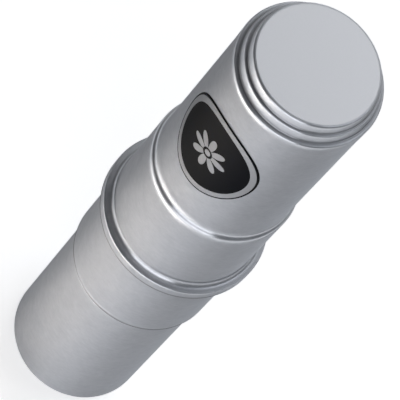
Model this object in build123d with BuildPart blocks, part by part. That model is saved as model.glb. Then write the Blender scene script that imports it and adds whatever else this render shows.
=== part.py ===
from build123d import *
import os
from math import cos, pi, radians, sin, sqrt, tan

# A ganza shaker: two spun aluminium cups, hemmed together at their mouths, with loose steel shot inside.
# It stands on the plain end of the lower cup. The axis is Z and the badge faces -Y. Sizes are millimetres.

# Sheet that both cups are spun from
SHEET = 1.5

# Outside of the narrow walls that the hands hold, and of the wider mouths between them
GRIP_DIAMETER = 50.0
MOUTH_STEP = 1.4
MOUTH_LENGTH = 41.5
SHOULDER_ANGLE = 50.0
SHOULDER_ROUND = 1.7

# Lower cup, from its resting face to the middle of the seam
LOWER_DEPTH = 120.5
LOWER_CORNER = 5.5

# Upper cup, from the middle of the seam to the lip of its wall, then two leaning steps up to the end disc
UPPER_WALL = 116.3
LIP_FLARE = 0.2
FLARE_LENGTH = 11.0
LIP_ROUND = 0.9
STEP_RISE = 3.55
STEP_TREAD = 1.6
STEP_LEAN = 0.6
STEP_EDGE = 0.6
STEP_ROOT = 0.5
DISC_EDGE = 1.0

# Hemmed seam: the upper flange is rolled down round the lower flange and tucked under it
RIM_PROJECTION = 3.25
RIM_EDGE = 0.4
FLANGE_ROOT = 2.4
HEM_WIDTH = 2.0
SEAM_PLAY = 0.1

# Badge glued on the upper narrow wall: its width is that of the flat foil, before it is bent
BADGE_WIDTH = 38.6
BADGE_HEIGHT = 40.4
BADGE_THICKNESS = 0.3
BADGE_GLUE = 0.1
BADGE_BELOW_LIP = 36.2
BADGE_OUTLINE_POINTS = 32

# Loose shot, one ball to a lane, resting in a hexagon on the floor of the lower cup
SHOT_DIAMETER = 6.0
SHOT_SPACING = 1.0
SHOT_SEAT_GAP = 0.2
SHOT_RINGS = 2

# Radii of the outside surface
grip_radius = GRIP_DIAMETER / 2
mouth_radius = grip_radius + MOUTH_STEP
rim_radius = mouth_radius + RIM_PROJECTION
lip_radius = grip_radius + LIP_FLARE
lower_foot_radius = lip_radius - STEP_TREAD
step_radius = lower_foot_radius - STEP_LEAN
upper_foot_radius = lower_foot_radius - STEP_TREAD
disc_radius = upper_foot_radius - STEP_LEAN
hem_radius = rim_radius - HEM_WIDTH
lower_flange_radius = rim_radius - SHEET - SEAM_PLAY

# Heights: three layers of sheet lie on each other at the seam
seam_z = LOWER_DEPTH
rim_top_z = seam_z + 1.5 * SHEET
upper_flange_z = seam_z + 0.5 * SHEET
hem_top_z = seam_z - 0.5 * SHEET
rim_bottom_z = seam_z - 1.5 * SHEET
lip_z = seam_z + UPPER_WALL
step_z = lip_z + STEP_RISE
top_z = step_z + STEP_RISE
shoulder_height = MOUTH_STEP / tan(radians(SHOULDER_ANGLE))
upper_shoulder_z = seam_z + MOUTH_LENGTH
lower_shoulder_z = seam_z - MOUTH_LENGTH

# Shift of an inside corner that keeps the sheet as thick on the slope of a shoulder as on its walls
shoulder_shift = SHEET * tan(radians(SHOULDER_ANGLE / 2))

# Roundings that a narrow tread or flange limits
step_edge = min(STEP_EDGE, 0.6 * (STEP_TREAD - STEP_LEAN))
step_root = min(STEP_ROOT, 0.5 * (STEP_TREAD - STEP_LEAN))
lip_round = min(LIP_ROUND, 0.6 * STEP_TREAD)
disc_edge = min(DISC_EDGE, 0.8 * STEP_RISE)
flange_root = min(FLANGE_ROOT, 0.8 * RIM_PROJECTION)


def name_and_export(piece, name):
    """Label a finished piece and write it to its own file."""
    piece.label = name
    export_step(piece, f"parts/{name}.step")


def cup_corners(corners):
    """Split (radius, height, rounding) corners into points and roundings for a closed section."""
    points = [(radius, height) for radius, height, rounding in corners]
    roundings = [rounding for radius, height, rounding in corners]
    return points, roundings


os.makedirs("parts", exist_ok=True)

# Upper cup: stepped end disc, flared lip, narrow wall, shoulder, mouth, and the hem round the lower flange
upper_outside = [
    (0, top_z, 0),
    (disc_radius, top_z, disc_edge),
    (upper_foot_radius, step_z, step_root),
    (step_radius, step_z, step_edge),
    (lower_foot_radius, lip_z, step_root),
    (lip_radius, lip_z, lip_round),
    (grip_radius, lip_z - FLARE_LENGTH, 0),
    (grip_radius, upper_shoulder_z + shoulder_height, SHOULDER_ROUND),
    (mouth_radius, upper_shoulder_z, SHOULDER_ROUND),
    (mouth_radius, rim_top_z, flange_root),
    (rim_radius, rim_top_z, RIM_EDGE),
    (rim_radius, rim_bottom_z, RIM_EDGE),
    (hem_radius, rim_bottom_z, 0),
]
upper_inside = [
    (hem_radius, hem_top_z, 0),
    (rim_radius - SHEET, hem_top_z, 0),
    (rim_radius - SHEET, upper_flange_z, 0),
    (mouth_radius - SHEET, upper_flange_z, 0),
    (mouth_radius - SHEET, upper_shoulder_z - shoulder_shift, 0),
    (grip_radius - SHEET, upper_shoulder_z + shoulder_height - shoulder_shift, 0),
    (grip_radius - SHEET, lip_z - FLARE_LENGTH, 0),
    (lip_radius - SHEET, lip_z - SHEET, 0),
    (lower_foot_radius - SHEET, lip_z - SHEET, 0),
    (step_radius - SHEET, step_z - SHEET, 0),
    (upper_foot_radius - SHEET, step_z - SHEET, 0),
    (disc_radius - SHEET, top_z - SHEET, 0),
    (0, top_z - SHEET, 0),
]
upper_points, upper_roundings = cup_corners(upper_outside + upper_inside)
with BuildPart() as upper_shell:
    with BuildSketch(Plane.XZ):
        with BuildLine():
            FilletPolyline(*upper_points, radius=upper_roundings, close=True)
        make_face()
    revolve(axis=Axis.Z)
name_and_export(upper_shell.part, "upper_shell")

# Lower cup: plain rounded end, narrow wall, shoulder, mouth, and the flat flange held in the hem
lower_outside = [
    (0, 0, 0),
    (grip_radius, 0, LOWER_CORNER),
    (grip_radius, lower_shoulder_z - shoulder_height, SHOULDER_ROUND),
    (mouth_radius, lower_shoulder_z, SHOULDER_ROUND),
    (mouth_radius, hem_top_z, 0),
    (lower_flange_radius, hem_top_z, 0),
]
lower_inside = [
    (lower_flange_radius, upper_flange_z, 0),
    (mouth_radius - SHEET, upper_flange_z, 0),
    (mouth_radius - SHEET, lower_shoulder_z + shoulder_shift, 0),
    (grip_radius - SHEET, lower_shoulder_z - shoulder_height + shoulder_shift, 0),
    (grip_radius - SHEET, SHEET, LOWER_CORNER - SHEET),
    (0, SHEET, 0),
]
lower_points, lower_roundings = cup_corners(lower_outside + lower_inside)
with BuildPart() as lower_shell:
    with BuildSketch(Plane.XZ):
        with BuildLine():
            FilletPolyline(*lower_points, radius=lower_roundings, close=True)
        make_face()
    revolve(axis=Axis.Z)
name_and_export(lower_shell.part, "lower_shell")

# Badge: an oval of printed foil, bent round the wall and glued on
badge_z = lip_z - BADGE_BELOW_LIP
badge_inner_radius = grip_radius + BADGE_GLUE
badge_outer_radius = badge_inner_radius + BADGE_THICKNESS
badge_half_turn = BADGE_WIDTH / 2 / badge_outer_radius
badge_outline = []
for number in range(BADGE_OUTLINE_POINTS):
    turn = 2 * pi * number / BADGE_OUTLINE_POINTS
    across = badge_outer_radius * sin(badge_half_turn * cos(turn))
    badge_outline.append((across, badge_z + BADGE_HEIGHT / 2 * sin(turn)))
with BuildPart() as badge:
    with BuildSketch(Plane.XZ):
        with BuildLine():
            Spline(*badge_outline, periodic=True)
        make_face()
    extrude(amount=badge_outer_radius)
    with BuildSketch(Plane.XY.offset(badge_z - BADGE_HEIGHT / 2)):
        Circle(badge_outer_radius)
        Circle(badge_inner_radius, mode=Mode.SUBTRACT)
    extrude(amount=BADGE_HEIGHT, mode=Mode.INTERSECT)
name_and_export(badge.part, "badge")

# Shot: rings of a hexagon round one ball in the middle, each ball free to fly to the far end and back
shot_pitch = SHOT_DIAMETER + SHOT_SPACING
shot_z = SHEET + SHOT_SEAT_GAP + SHOT_DIAMETER / 2
shot_places = []
for row in range(-SHOT_RINGS, SHOT_RINGS + 1):
    for column in range(max(-SHOT_RINGS, -row - SHOT_RINGS), min(SHOT_RINGS, -row + SHOT_RINGS) + 1):
        shot_places.append((shot_pitch * (column + row / 2), shot_pitch * row * sqrt(3) / 2, shot_z))
for number, place in enumerate(shot_places, start=1):
    with BuildPart() as shot:
        with Locations(place):
            Sphere(SHOT_DIAMETER / 2)
    name_and_export(shot.part, f"shot_{number:02d}")
shot_travel = top_z - 2 * (SHEET + SHOT_SEAT_GAP) - SHOT_DIAMETER
print(f"overall height {top_z:.2f}, rim diameter {2 * rim_radius:.2f}, shot travel {shot_travel:.2f}")
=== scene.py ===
import bpy
import numpy as np
from mathutils import Matrix, Vector


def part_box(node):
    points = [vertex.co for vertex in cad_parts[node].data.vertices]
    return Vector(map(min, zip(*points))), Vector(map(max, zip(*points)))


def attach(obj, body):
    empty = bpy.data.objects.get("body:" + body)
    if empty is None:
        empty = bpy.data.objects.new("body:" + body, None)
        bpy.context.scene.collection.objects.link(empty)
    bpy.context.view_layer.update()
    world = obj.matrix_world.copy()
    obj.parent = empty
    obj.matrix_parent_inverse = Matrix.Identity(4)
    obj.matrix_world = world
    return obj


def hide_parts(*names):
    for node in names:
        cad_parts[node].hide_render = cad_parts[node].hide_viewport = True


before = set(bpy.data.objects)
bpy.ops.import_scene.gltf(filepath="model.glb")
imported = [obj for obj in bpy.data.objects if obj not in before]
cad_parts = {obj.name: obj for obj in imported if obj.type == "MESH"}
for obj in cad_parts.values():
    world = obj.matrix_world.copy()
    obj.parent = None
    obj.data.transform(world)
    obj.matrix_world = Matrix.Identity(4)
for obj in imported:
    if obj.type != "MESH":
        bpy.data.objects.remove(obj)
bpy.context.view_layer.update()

# Upper cup: the half with the stepped end, spun over a form from 1.5 mm aluminium sheet, one even skin from
# the end disc to the flange. The flange is rolled down round the lower cup's flange and hemmed under it.
# Sizes are millimetres, up from the resting face and out from the axis.
sheet = 1.5
grip_radius = 25.0
mouth_radius = grip_radius + 1.4
rim_radius = mouth_radius + 3.25
hem_radius = rim_radius - 2.0
lip_radius = grip_radius + 0.2
step_tread = 1.6
step_lean = 0.6
step_rise = 3.55
lower_foot_radius = lip_radius - step_tread
step_radius = lower_foot_radius - step_lean
upper_foot_radius = lower_foot_radius - step_tread
disc_radius = upper_foot_radius - step_lean
seam_z = 120.5
rim_top_z = seam_z + 1.5 * sheet
rim_bottom_z = seam_z - 1.5 * sheet
lip_z = seam_z + 116.3
step_z = lip_z + step_rise
top_z = step_z + step_rise
flare_z = lip_z - 11.0
mouth_length = 41.5
upper_shoulder_z = seam_z + mouth_length
shoulder_angle = np.radians(50.0)
shoulder_height = (mouth_radius - grip_radius) / np.tan(shoulder_angle)
shoulder_shift = sheet * np.tan(shoulder_angle / 2)

# Roundings of the corners, outside and then inside
disc_edge = 1.0
step_root = 0.5
step_edge = 0.6
lip_round = 0.9
flare_round = 60.0
shoulder_round = 1.7
flange_root = 2.4
rim_edge = 0.4
hem_edge = 0.3
cut_edge = 0.2
hem_fold = 0.1
inner_bend = 0.5
inner_step = 0.3


def rounded_section(corners, run_length=3.0):
    """Line through (radius, height, rounding) corners, in mm, and how burnished each point is, 0 to 1.

    A rounded corner becomes an arc that touches both of its runs: its centre lies on the bisector,
    rounding / sin(half angle) from the corner. Each run between arcs is divided evenly, with a few more
    points close to its ends. Arcs under 3 mm are burnished where they don't lie flat. The burnish reaches
    1.5 mm along the runs, or 0.4 mm beside an arc under 0.45 mm, and fades over four fifths of that."""
    arc_step = np.radians(7)
    near_end = np.array([0.12, 0.3, 0.6, 1.0, 1.6])
    corners = np.array(corners, float)
    pieces = [corners[:1, :2]]
    shine = [0.0]
    for before, corner, after in zip(corners[:-2], corners[1:-1], corners[2:]):
        spot, rounding = corner[:2], corner[2]
        back = (before[:2] - spot) / np.hypot(*(before[:2] - spot))
        ahead = (after[:2] - spot) / np.hypot(*(after[:2] - spot))
        half = np.arccos(np.clip(back @ ahead, -1, 1)) / 2
        reach = rounding / np.tan(half)
        centre = spot + (back + ahead) / np.hypot(*(back + ahead)) * rounding / np.sin(half)
        start = spot + back * reach - centre
        end = spot + ahead * reach - centre
        turn = np.arctan2(start[0] * end[1] - start[1] * end[0], start @ end)
        angle = np.arctan2(start[1], start[0]) + turn * np.linspace(0, 1, 2 + int(abs(turn) / arc_step))
        pieces.append(centre + rounding * np.stack([np.cos(angle), np.sin(angle)], 1))
        shine.append(0.4 if rounding < 0.45 else 1.5 if rounding < 3.0 else 0.0)
    pieces.append(corners[-1:, :2])
    shine.append(0.0)
    line = [pieces[0]]
    arcs = [np.zeros(1)]
    for left, right, bright in zip(pieces[:-1], pieces[1:], shine[1:]):
        length = np.hypot(*(right[0] - left[-1]))
        shares = np.linspace(0, 1, 1 + max(1, int(np.ceil(length / run_length))))[1:-1]
        ends = near_end / max(length, 1e-9)
        ends = ends[ends < 0.3]
        shares = np.unique(np.concatenate([ends, shares[(shares > 0.1) & (shares < 0.9)], 1 - ends]))
        line += [left[-1] + shares[:, None] * (right[0] - left[-1]), right]
        arcs += [np.zeros(len(shares)), np.full(len(right), bright)]
    line = np.concatenate(line)
    arcs = np.concatenate(arcs)
    along = np.concatenate([[0], np.cumsum(np.hypot(*np.diff(line, axis=0).T))])
    away = np.abs(along[:, None] - along)
    burnish = np.clip((arcs - away) / np.maximum(0.8 * arcs, 1e-9), 0, 1).max(1)
    run = np.gradient(line, axis=0)
    lean = np.abs(run[:, 0]) / np.hypot(*run.T)
    return line, burnish * np.clip((0.97 - lean) / 0.12, 0, 1)


def painted_shade_near(line, corners, reach):
    """Painted shade on each point of a section: 1 within reach mm of a corner, falling to 0 at twice that."""
    corners = np.array(corners)
    away = np.hypot(line[:, :1] - corners[:, 0], line[:, 1:] - corners[:, 1]).min(1)
    return np.clip(2 - away / reach, 0, 1)


def closed_skin(name, rings, poles, map_name=None, chart=None):
    """Object with a closed skin of rings, (ring, turn, xyz) in mm, and a point that closes each end.

    The step to the next ring crossed with the step round the ring points outwards. The chart gives u and v of
    a texture map from a ring's number, with the poles as the first and last, and a place round the ring."""
    rows, turns = rings.shape[:2]
    points = np.concatenate([rings.reshape(-1, 3), poles]) / 1000
    row, column = np.meshgrid(np.arange(rows - 1), np.arange(turns), indexing="ij")
    after = (column + 1) % turns
    quads = np.stack([row * turns + column, (row + 1) * turns + column,
                      (row + 1) * turns + after, row * turns + after], 2).reshape(-1, 4)
    step = np.arange(turns)
    last = (rows - 1) * turns
    fan_in = np.stack([np.full(turns, rows * turns), step, (step + 1) % turns], 1)
    fan_out = np.stack([last + step, np.full(turns, rows * turns + 1), last + (step + 1) % turns], 1)
    mesh = bpy.data.meshes.new(name)
    mesh.from_pydata(points.tolist(), [], quads.tolist() + fan_in.tolist() + fan_out.tolist())
    if chart:
        ring = np.concatenate([np.stack([row, row + 1, row + 1, row], 2).ravel() + 1,
                               np.tile([0, 1, 1], turns), np.tile([rows, rows + 1, rows], turns)])
        turn = np.concatenate([np.stack([column, column, column + 1, column + 1], 2).ravel(),
                               np.stack([step + 0.5, step, step + 1], 1).ravel(),
                               np.stack([step, step + 0.5, step + 1], 1).ravel()])
        uv = np.stack(chart(ring, turn), 1)
        mesh.uv_layers.new(name=map_name).data.foreach_set("uv", uv.astype(np.float32).ravel())
    mesh.polygons.foreach_set("use_smooth", np.ones(len(mesh.polygons), bool))
    mesh.update()
    made = bpy.data.objects.new(name, mesh)
    bpy.context.scene.collection.objects.link(made)
    return made


def turned(name, section, burnish, painted_shade, turns=192):
    """Surface of revolution of a section that starts and ends on the axis: (r cos a, r sin a, z) at angle a.

    The angle starts at the back, +Y. The texture map is (arc at the grip, way along the section), in mm."""
    angle = np.pi / 2 + 2 * np.pi * np.arange(turns) / turns
    radius, height = section[1:-1, :1], section[1:-1, 1:]
    rings = np.stack([radius * np.cos(angle), radius * np.sin(angle), np.repeat(height, turns, 1)], 2)
    poles = [(0, 0, section[0, 1]), (0, 0, section[-1, 1])]
    along = np.concatenate([[0], np.cumsum(np.hypot(*np.diff(section, axis=0).T))])
    arc = 2 * np.pi * grip_radius / turns
    made = closed_skin(name, rings, poles, "turning", lambda ring, turn: (turn * arc, along[ring]))
    for layer, values in (("burnish", burnish), ("painted_shade", painted_shade)):
        spread = np.concatenate([np.repeat(values[1:-1], turns), values[[0, -1]]]).astype(np.float32)
        made.data.attributes.new(layer, "FLOAT", "POINT").data.foreach_set("value", spread)
    return made


def linear(hex_colour):
    """Linear RGBA of an sRGB hex colour."""
    value = np.array([int(hex_colour[i:i + 2], 16) for i in (1, 3, 5)]) / 255
    value = np.where(value <= 0.04045, value / 12.92, ((value + 0.055) / 1.055) ** 2.4)
    return (*value.tolist(), 1.0)


def empty_material(name):
    """New material and its node tree, with no nodes in it."""
    material = bpy.data.materials.new(name)
    material.use_nodes = True
    material.node_tree.nodes.clear()
    return material, material.node_tree


def add(tree, kind, inputs=(), **settings):
    """Add a node with its settings; an input that is a socket is linked, any other is set.

    The colours of a Mix node are its inputs 6 and 7 and its output 2."""
    node = tree.nodes.new(kind)
    for name, value in settings.items():
        setattr(node, name, value)
    for name, value in dict(inputs).items():
        if isinstance(value, bpy.types.NodeSocket):
            tree.links.new(value, node.inputs[name])
        else:
            node.inputs[name].default_value = value
    return node


# Aluminium, spun and left satin: the tool leaves fine rings round the axis, so light is drawn out along the
# tube. Bends are rubbed brighter. Painted shade darkens the colour in the roots of the steps, under the rim
# and round the lower shoulder. Rings and streaks are drawn coarser than real ones, so that they show.
ring_spacing = 0.7
ring_length = 71.4
streak_width = 2.38
streak_height = 1.11
handling_mark = 4.17
spun_aluminium, tree = empty_material("spun_aluminium")
place = add(tree, "ShaderNodeTexCoord").outputs["Object"]
spot = add(tree, "ShaderNodeSeparateXYZ", {"Vector": place}).outputs
flat = add(tree, "ShaderNodeVectorMath", {0: place, 1: (1, 1, 0)}, operation="MULTIPLY").outputs["Vector"]
radius = add(tree, "ShaderNodeVectorMath", {0: flat}, operation="LENGTH").outputs["Value"]
across = add(tree, "ShaderNodeMath", {0: spot["Z"], 1: radius}, operation="SUBTRACT").outputs["Value"]
ring_place = add(tree, "ShaderNodeCombineXYZ", {"X": spot["X"], "Y": spot["Y"],
                                                "Z": across}).outputs["Vector"]
ring_scale = (1000 / ring_length, 1000 / ring_length, 1000 / ring_spacing)
ring_place = add(tree, "ShaderNodeVectorMath", {0: ring_place, 1: ring_scale},
                 operation="MULTIPLY").outputs["Vector"]
rings = add(tree, "ShaderNodeTexNoise", {"Vector": ring_place, "Scale": 1.0, "Detail": 3.0,
                                         "Roughness": 0.6}).outputs["Fac"]
streak_scale = (1000 / streak_width, 1000 / streak_width, 1000 / streak_height)
streak_place = add(tree, "ShaderNodeVectorMath", {0: place, 1: streak_scale},
                   operation="MULTIPLY").outputs["Vector"]
streaks = add(tree, "ShaderNodeTexNoise", {"Vector": streak_place, "Scale": 1.0, "Detail": 4.0,
                                           "Roughness": 0.65}).outputs["Fac"]
handling = add(tree, "ShaderNodeTexNoise", {"Vector": place, "Scale": 1000 / handling_mark, "Detail": 5.0,
                                            "Roughness": 0.7}).outputs["Fac"]
uneven = add(tree, "ShaderNodeMix", {"Factor": 0.5, "A": rings, "B": streaks}).outputs["Result"]
satin = add(tree, "ShaderNodeMapRange", {"Value": uneven, "From Min": 0.3, "From Max": 0.7,
                                         "To Min": 0.62, "To Max": 0.74}).outputs["Result"]
burnished = add(tree, "ShaderNodeAttribute", attribute_name="burnish").outputs["Fac"]
roughness = add(tree, "ShaderNodeMapRange", {"Value": burnished, "To Min": satin,
                                             "To Max": 0.30}).outputs["Result"]
cloud = add(tree, "ShaderNodeMix", {"Factor": 0.5, "A": handling, "B": streaks}).outputs["Result"]
cloud = add(tree, "ShaderNodeMapRange", {"Value": cloud, "From Min": 0.3,
                                         "From Max": 0.7}).outputs["Result"]
clean = add(tree, "ShaderNodeMix", {"Factor": cloud, 6: linear("#c5c8cd"), 7: linear("#d7d9de")},
            data_type="RGBA").outputs[2]
# Painted shade: darker grey in the step roots, under the rim and round the lower shoulder, where shade falls
painted_shade_mask = add(tree, "ShaderNodeAttribute", attribute_name="painted_shade").outputs["Fac"]
colour = add(tree, "ShaderNodeMix", {"Factor": painted_shade_mask, 6: clean, 7: linear("#8b8c90")},
             data_type="RGBA").outputs[2]
bump = add(tree, "ShaderNodeBump", {"Height": uneven, "Strength": 0.12,
                                    "Distance": 0.00005}).outputs["Normal"]
tangent = add(tree, "ShaderNodeTangent", direction_type="UV_MAP", uv_map="turning").outputs["Tangent"]
skin = add(tree, "ShaderNodeBsdfPrincipled",
           {"Base Color": colour, "Metallic": 1.0, "Roughness": roughness, "Normal": bump,
            "Specular Tint": (0.02, 0.02, 0.02, 1), "Anisotropic": 0.75, "Anisotropic Rotation": 0.25,
            "Tangent": tangent}, distribution="GGX")
add(tree, "ShaderNodeOutputMaterial", {"Surface": skin.outputs["BSDF"]})

# Aluminium, blasted: the flat end disc is blasted after spinning, so it is an even satin without rings
blast_grit = 0.625
blasted_aluminium, tree = empty_material("blasted_aluminium")
place = add(tree, "ShaderNodeTexCoord").outputs["Object"]
grain = add(tree, "ShaderNodeTexNoise", {"Vector": place, "Scale": 1000 / blast_grit,
                                         "Detail": 2.0}).outputs["Fac"]
dull = add(tree, "ShaderNodeMapRange", {"Value": grain, "To Min": 0.52, "To Max": 0.60}).outputs["Result"]
skin = add(tree, "ShaderNodeBsdfPrincipled", {"Base Color": linear("#cfd0d3"), "Metallic": 1.0,
                                              "Roughness": dull})
add(tree, "ShaderNodeOutputMaterial", {"Surface": skin.outputs["BSDF"]})

upper_section, upper_burnish = rounded_section([
    (0, top_z, 0),
    (disc_radius, top_z, disc_edge),
    (upper_foot_radius, step_z, step_root),
    (step_radius, step_z, step_edge),
    (lower_foot_radius, lip_z, step_root),
    (lip_radius, lip_z, lip_round),
    (grip_radius, flare_z, flare_round),
    (grip_radius, upper_shoulder_z + shoulder_height, shoulder_round),
    (mouth_radius, upper_shoulder_z, shoulder_round),
    (mouth_radius, rim_top_z, flange_root),
    (rim_radius, rim_top_z, rim_edge),
    (rim_radius, rim_bottom_z, rim_edge),
    (hem_radius, rim_bottom_z, hem_edge),
    (hem_radius, rim_bottom_z + sheet, cut_edge),
    (rim_radius - sheet, rim_bottom_z + sheet, hem_fold),
    (rim_radius - sheet, rim_top_z - sheet, hem_fold),
    (mouth_radius - sheet, rim_top_z - sheet, cut_edge),
    (mouth_radius - sheet, upper_shoulder_z - shoulder_shift, inner_bend),
    (grip_radius - sheet, upper_shoulder_z + shoulder_height - shoulder_shift, inner_bend),
    (grip_radius - sheet, flare_z, flare_round),
    (lip_radius - sheet, lip_z - sheet, inner_step),
    (lower_foot_radius - sheet, lip_z - sheet, inner_step),
    (step_radius - sheet, step_z - sheet, inner_step),
    (upper_foot_radius - sheet, step_z - sheet, inner_step),
    (disc_radius - sheet, top_z - sheet, inner_bend),
    (0, top_z - sheet, 0)])
# Painted shade in the roots of the steps, at half strength, and under the rim's lower edge
step_painted_shade = 0.5 * painted_shade_near(upper_section, [(upper_foot_radius, step_z), (lower_foot_radius, lip_z)], 0.4)
rim_painted_shade = painted_shade_near(upper_section, [(rim_radius, rim_bottom_z)], 0.6)
upper_cup = turned("upper_cup", upper_section, upper_burnish, np.maximum(step_painted_shade, rim_painted_shade))
upper_cup.data.materials.append(spun_aluminium)
upper_cup.data.materials.append(blasted_aluminium)
centres = np.empty(3 * len(upper_cup.data.polygons), np.float32)
upper_cup.data.polygons.foreach_get("center", centres)
on_disc = centres[2::3] > (top_z - 0.001) / 1000
upper_cup.data.polygons.foreach_set("material_index", on_disc.astype(np.int32))
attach(upper_cup, "shell")
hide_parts("upper_shell")

# Lower cup: the plain half, spun from the same sheet with a rounded end that it stands on. Its flat flange is
# the middle layer of the seam, held between the upper cup's flange and the hem with a little play.
seam_play = 0.1
lower_corner = 5.5
lower_shoulder_z = seam_z - mouth_length
lower_flange_radius = rim_radius - sheet - seam_play
lower_section, lower_burnish = rounded_section([
    (0, sheet, 0),
    (grip_radius - sheet, sheet, lower_corner - sheet),
    (grip_radius - sheet, lower_shoulder_z - shoulder_height + shoulder_shift, inner_bend),
    (mouth_radius - sheet, lower_shoulder_z + shoulder_shift, inner_bend),
    (mouth_radius - sheet, rim_top_z - sheet, cut_edge),
    (lower_flange_radius, rim_top_z - sheet, cut_edge),
    (lower_flange_radius, rim_bottom_z + sheet, cut_edge),
    (mouth_radius, rim_bottom_z + sheet, rim_edge),
    (mouth_radius, lower_shoulder_z, shoulder_round),
    (grip_radius, lower_shoulder_z - shoulder_height, shoulder_round),
    (grip_radius, 0, lower_corner),
    (0, 0, 0)])
# Painted shade round the lower shoulder's bend, where the mouth turns in under the seam
shoulder_painted_shade = painted_shade_near(lower_section, [(mouth_radius, lower_shoulder_z)], 0.8)
lower_cup = turned("lower_cup", lower_section, lower_burnish, shoulder_painted_shade)
lower_cup.data.materials.append(spun_aluminium)
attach(lower_cup, "shell")
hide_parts("lower_shell")

# Badge: an oval of thin aluminium foil, printed with black ink round a bare border and a bare rosette. It is
# bent round the grip and glued on.
badge_z = lip_z - 36.2
badge_half_width = 19.3
badge_half_height = 20.2
glue_thickness = 0.1
foil_thickness = 0.3
badge_base = grip_radius + glue_thickness
badge_face = badge_base + foil_thickness


def bent_oval(name, shares, lift, turns=160):
    """Flat oval bent round the tube: share s and angle a give the arc s w cos a and the height s h sin a.

    The arc is laid off on the outer face, and each ring then lies on a circle of radius lift. The texture map
    holds the flat oval, in mm from its middle."""
    def flat_oval(share, turn):
        angle = 2 * np.pi * turn / turns
        return share * badge_half_width * np.cos(angle), share * badge_half_height * np.sin(angle)

    arc, rise = flat_oval(shares[:, None], np.arange(turns))
    x = badge_face * np.sin(arc / badge_face)
    y = -np.sqrt(lift[:, None] ** 2 - x ** 2)
    poles = [(0, -lift[0], badge_z), (0, -lift[-1], badge_z)]
    ring_shares = np.concatenate([[0], shares, [0]])
    return closed_skin(name, np.stack([x, y, badge_z + rise], 2), poles, "flat_foil",
                       lambda ring, turn: flat_oval(ring_shares[ring], turn))


face_shares = np.linspace(0.05, 0.985, 20)
edge_shares = [0.995, 1.0, 1.0]
back_shares = np.linspace(0.97, 0.05, 10)
badge_shares = np.concatenate([face_shares, edge_shares, back_shares])
badge_lift = np.concatenate([np.full(len(face_shares), badge_face),
                             [badge_face - 0.02, badge_face - 0.08, badge_base],
                             np.full(len(back_shares), badge_base)])
badge = bent_oval("badge_foil", badge_shares, badge_lift)

# Aluminium foil, printed and thinly varnished: black ink with a faint gloss. Ink is left off between two
# ovals, in a small eye and inside eight petals, whose edge is at petal_length times |cos(4 a)| ** 0.6.
border_inside = 0.855
border_outside = 0.967
petal_length = 8.0
petal_root = 2.2
eye_radius = 1.3
foil_grain = 0.667
printed_foil, tree = empty_material("printed_foil")
flat = add(tree, "ShaderNodeUVMap", uv_map="flat_foil").outputs["UV"]
oval = add(tree, "ShaderNodeVectorMath", {0: flat, 1: (badge_half_width, badge_half_height, 1)},
           operation="DIVIDE").outputs["Vector"]
share = add(tree, "ShaderNodeVectorMath", {0: oval}, operation="LENGTH").outputs["Value"]
past_inner = add(tree, "ShaderNodeMath", {0: share, 1: border_inside},
                 operation="GREATER_THAN").outputs["Value"]
in_outer = add(tree, "ShaderNodeMath", {0: share, 1: border_outside}, operation="LESS_THAN").outputs["Value"]
border = add(tree, "ShaderNodeMath", {0: past_inner, 1: in_outer}, operation="MULTIPLY").outputs["Value"]
reach = add(tree, "ShaderNodeVectorMath", {0: flat}, operation="LENGTH").outputs["Value"]
spot = add(tree, "ShaderNodeSeparateXYZ", {"Vector": flat}).outputs
angle = add(tree, "ShaderNodeMath", {0: spot["Y"], 1: spot["X"]}, operation="ARCTAN2").outputs["Value"]
wave = add(tree, "ShaderNodeMath", {0: angle, 1: 4.0}, operation="MULTIPLY").outputs["Value"]
wave = add(tree, "ShaderNodeMath", {0: wave}, operation="COSINE").outputs["Value"]
wave = add(tree, "ShaderNodeMath", {0: wave}, operation="ABSOLUTE").outputs["Value"]
wave = add(tree, "ShaderNodeMath", {0: wave, 1: 0.6}, operation="POWER").outputs["Value"]
petal_edge = add(tree, "ShaderNodeMath", {0: wave, 1: petal_length}, operation="MULTIPLY").outputs["Value"]
in_petal = add(tree, "ShaderNodeMath", {0: reach, 1: petal_edge}, operation="LESS_THAN").outputs["Value"]
past_root = add(tree, "ShaderNodeMath", {0: reach, 1: petal_root},
                operation="GREATER_THAN").outputs["Value"]
petals = add(tree, "ShaderNodeMath", {0: in_petal, 1: past_root}, operation="MULTIPLY").outputs["Value"]
eye = add(tree, "ShaderNodeMath", {0: reach, 1: eye_radius}, operation="LESS_THAN").outputs["Value"]
rosette = add(tree, "ShaderNodeMath", {0: petals, 1: eye}, operation="MAXIMUM").outputs["Value"]
bare = add(tree, "ShaderNodeMath", {0: border, 1: rosette}, operation="MAXIMUM").outputs["Value"]
colour = add(tree, "ShaderNodeMix", {"Factor": bare, 6: linear("#14161d"), 7: linear("#b6b7ba")},
             data_type="RGBA").outputs[2]
place = add(tree, "ShaderNodeTexCoord").outputs["Object"]
grain = add(tree, "ShaderNodeTexNoise", {"Vector": place, "Scale": 1000 / foil_grain,
                                         "Detail": 2.0}).outputs["Fac"]
dull = add(tree, "ShaderNodeMapRange", {"Value": grain, "To Min": 0.58, "To Max": 0.64}).outputs["Result"]
tangent = add(tree, "ShaderNodeTangent", direction_type="UV_MAP", uv_map="flat_foil").outputs["Tangent"]
skin = add(tree, "ShaderNodeBsdfPrincipled",
           {"Base Color": colour, "Metallic": 1.0, "Roughness": dull, "Specular Tint": (0.1, 0.1, 0.1, 1),
            "Anisotropic": 0.9, "Anisotropic Rotation": 0.25, "Tangent": tangent,
            "Coat Weight": 0.08, "Coat Roughness": 0.10}, distribution="GGX")
add(tree, "ShaderNodeOutputMaterial", {"Surface": skin.outputs["BSDF"]})
badge.data.materials.append(printed_foil)
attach(badge, "shell")
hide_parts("badge")

# Shot: loose steel balls that sound when the tube is shaken. They lie side by side on the floor of the lower
# cup, and nothing holds them.
shot_radius = 3.0


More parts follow.
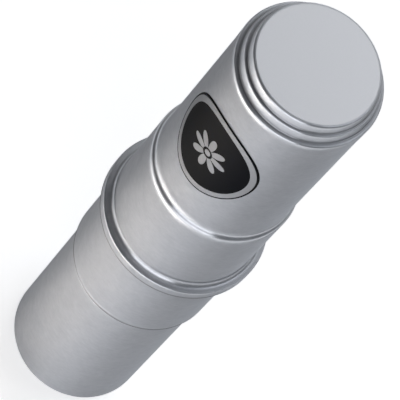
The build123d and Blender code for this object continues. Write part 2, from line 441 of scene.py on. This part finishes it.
def ball(name, centre, bands=16, turns=32):
    """Sphere: latitude b and longitude a give centre + radius (cos b cos a, cos b sin a, sin b)."""
    latitude = np.linspace(np.pi / 2, -np.pi / 2, bands + 1)[1:-1, None]
    angle = 2 * np.pi * np.arange(turns) / turns
    rings = np.stack([np.cos(latitude) * np.cos(angle), np.cos(latitude) * np.sin(angle),
                      np.repeat(np.sin(latitude), turns, 1)], 2)
    poles = np.array([(0, 0, 1), (0, 0, -1)])
    return closed_skin(name, centre + shot_radius * rings, centre + shot_radius * poles)


# Steel, tumbled bright: a soft mirror, with uneven wear from the other balls
shot_wear = 0.833
tumbled_steel, tree = empty_material("tumbled_steel")
place = add(tree, "ShaderNodeTexCoord").outputs["Object"]
wear = add(tree, "ShaderNodeTexNoise", {"Vector": place, "Scale": 1000 / shot_wear,
                                        "Detail": 3.0}).outputs["Fac"]
gloss = add(tree, "ShaderNodeMapRange", {"Value": wear, "To Min": 0.18, "To Max": 0.34}).outputs["Result"]
skin = add(tree, "ShaderNodeBsdfPrincipled", {"Base Color": linear("#b9bbbd"), "Metallic": 1.0,
                                              "Roughness": gloss})
add(tree, "ShaderNodeOutputMaterial", {"Surface": skin.outputs["BSDF"]})
for node in sorted(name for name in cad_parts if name.startswith("shot_")):
    low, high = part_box(node)
    shot = ball(node + "_ball", np.array((low + high) / 2) * 1000)
    shot.data.materials.append(tumbled_steel)
    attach(shot, node)
    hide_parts(node)

# Floor: one plain sheet of white paper, wide enough that its edges stay out of view. It takes the tube's
# shadow. Where the camera or the metal sees it, a glow lifts it to white, and the glow lights nothing else.
floor_half = 4.0
floor_corners = [(-floor_half, -floor_half, 0), (floor_half, -floor_half, 0),
                 (floor_half, floor_half, 0), (-floor_half, floor_half, 0)]
floor_mesh = bpy.data.meshes.new("floor")
floor_mesh.from_pydata(floor_corners, [], [(0, 1, 2, 3)])
floor = bpy.data.objects.new("floor", floor_mesh)
bpy.context.scene.collection.objects.link(floor)
white_paper, tree = empty_material("white_paper")
rays = add(tree, "ShaderNodeLightPath").outputs
seen = add(tree, "ShaderNodeMath", {0: rays["Is Camera Ray"], 1: rays["Is Glossy Ray"]},
           operation="MAXIMUM").outputs["Value"]
seen = add(tree, "ShaderNodeMath", {0: seen, 1: rays["Is Transmission Ray"]},
           operation="MAXIMUM").outputs["Value"]
glow_strength = add(tree, "ShaderNodeMath", {0: seen, 1: 0.53}, operation="MULTIPLY").outputs["Value"]
glow = add(tree, "ShaderNodeEmission", {"Color": linear("#ffffff"), "Strength": glow_strength})
diffuse = add(tree, "ShaderNodeBsdfDiffuse", {"Color": linear("#f4f4f4")})
both = add(tree, "ShaderNodeAddShader", {0: diffuse.outputs["BSDF"], 1: glow.outputs["Emission"]})
add(tree, "ShaderNodeOutputMaterial", {"Surface": both.outputs["Shader"]})
floor_mesh.materials.append(white_paper)

# Studio light: soft boxes in a dim room. The front and left ones draw the long lights on the walls and bends,
# the right ones fill the steps, and the back ones light the end disc. A small lamp shines straight down on
# the paper at the front left, beside the tube, and the walls mirror that as their brightest line.
world = bpy.data.worlds.new("studio")
bpy.context.scene.world = world
world.use_nodes = True
tree = world.node_tree
tree.nodes.clear()
room = add(tree, "ShaderNodeBackground", {"Color": linear("#f6f9ff"), "Strength": 0.09})
add(tree, "ShaderNodeOutputWorld", {"Surface": room.outputs["Background"]})
viewer_turn = np.radians(17.5)
front = np.array([np.sin(viewer_turn), -np.cos(viewer_turn), 0.0])
left = np.array([-np.cos(viewer_turn), -np.sin(viewer_turn), 0.0])
lamp_distance = 1.3
tube_middle = (0, 0, 130)


def softbox(name, turn, lift, width, length, power, colour, aim=tube_middle, spread=180):
    """Area lamp that faces a point from turn degrees to the left and lift degrees up.

    The point, aim, is in mm to the viewer, to the left and up. Width and length are metres."""
    turn, lift = np.radians(turn), np.radians(lift)
    spot = np.cos(lift) * (np.cos(turn) * front + np.sin(turn) * left) + np.array([0, 0, np.sin(lift)])
    target = (aim[0] * front + aim[1] * left + np.array([0, 0, aim[2]])) / 1000
    lamp = bpy.data.lights.new(name, "AREA")
    lamp.shape = "RECTANGLE"
    lamp.size = width
    lamp.size_y = length
    lamp.energy = power
    lamp.spread = np.radians(spread)
    lamp.color = linear(colour)[:3]
    made = bpy.data.objects.new(name, lamp)
    made.location = Vector(spot * lamp_distance + target)
    made.rotation_euler = Vector(spot).to_track_quat("Z", "Y").to_euler()
    bpy.context.scene.collection.objects.link(made)


softbox("front", -13, 19, 1.25, 0.80, 6.0, "#fafbff")
softbox("left", 42, 4, 1.60, 0.30, 1.8, "#fff8f2")
softbox("right", -62, 24, 0.90, 0.90, 0.25, "#f4f8ff")
softbox("right_high", -125, 60, 0.60, 0.60, 3.2, "#f4f8ff")
softbox("table", 0, 90, 0.05, 0.05, 0.60, "#fff6ec", aim=(205, 130, 0), spread=18)
softbox("back", 180, 40, 1.20, 0.90, 5.9, "#fdfeff")
softbox("back_low", 180, 15, 0.80, 0.50, 1.4, "#fdfeff")

# Camera: a long lens high above the badge side, turned so that the stepped end points to the upper right of
# the picture. Its right, its up and its place are in the frame, in metres.
camera_right = Vector((0.540972, 0.769340, 0.339803))
camera_up = Vector((-0.827031, 0.413171, 0.381196))
camera_place = Vector((0.17451, -0.55428, 1.11333))
camera_data = bpy.data.cameras.new("camera")
camera_data.sensor_width = 36.0
camera_data.lens = 304.43
camera_data.clip_end = 100.0
camera = bpy.data.objects.new("camera", camera_data)
camera_turn = Matrix((camera_right, camera_up, camera_right.cross(camera_up))).transposed()
camera.matrix_world = Matrix.Translation(camera_place) @ camera_turn.to_4x4()
bpy.context.scene.collection.objects.link(camera)
bpy.context.scene.camera = camera
bpy.context.scene.view_settings.view_transform = "Standard"
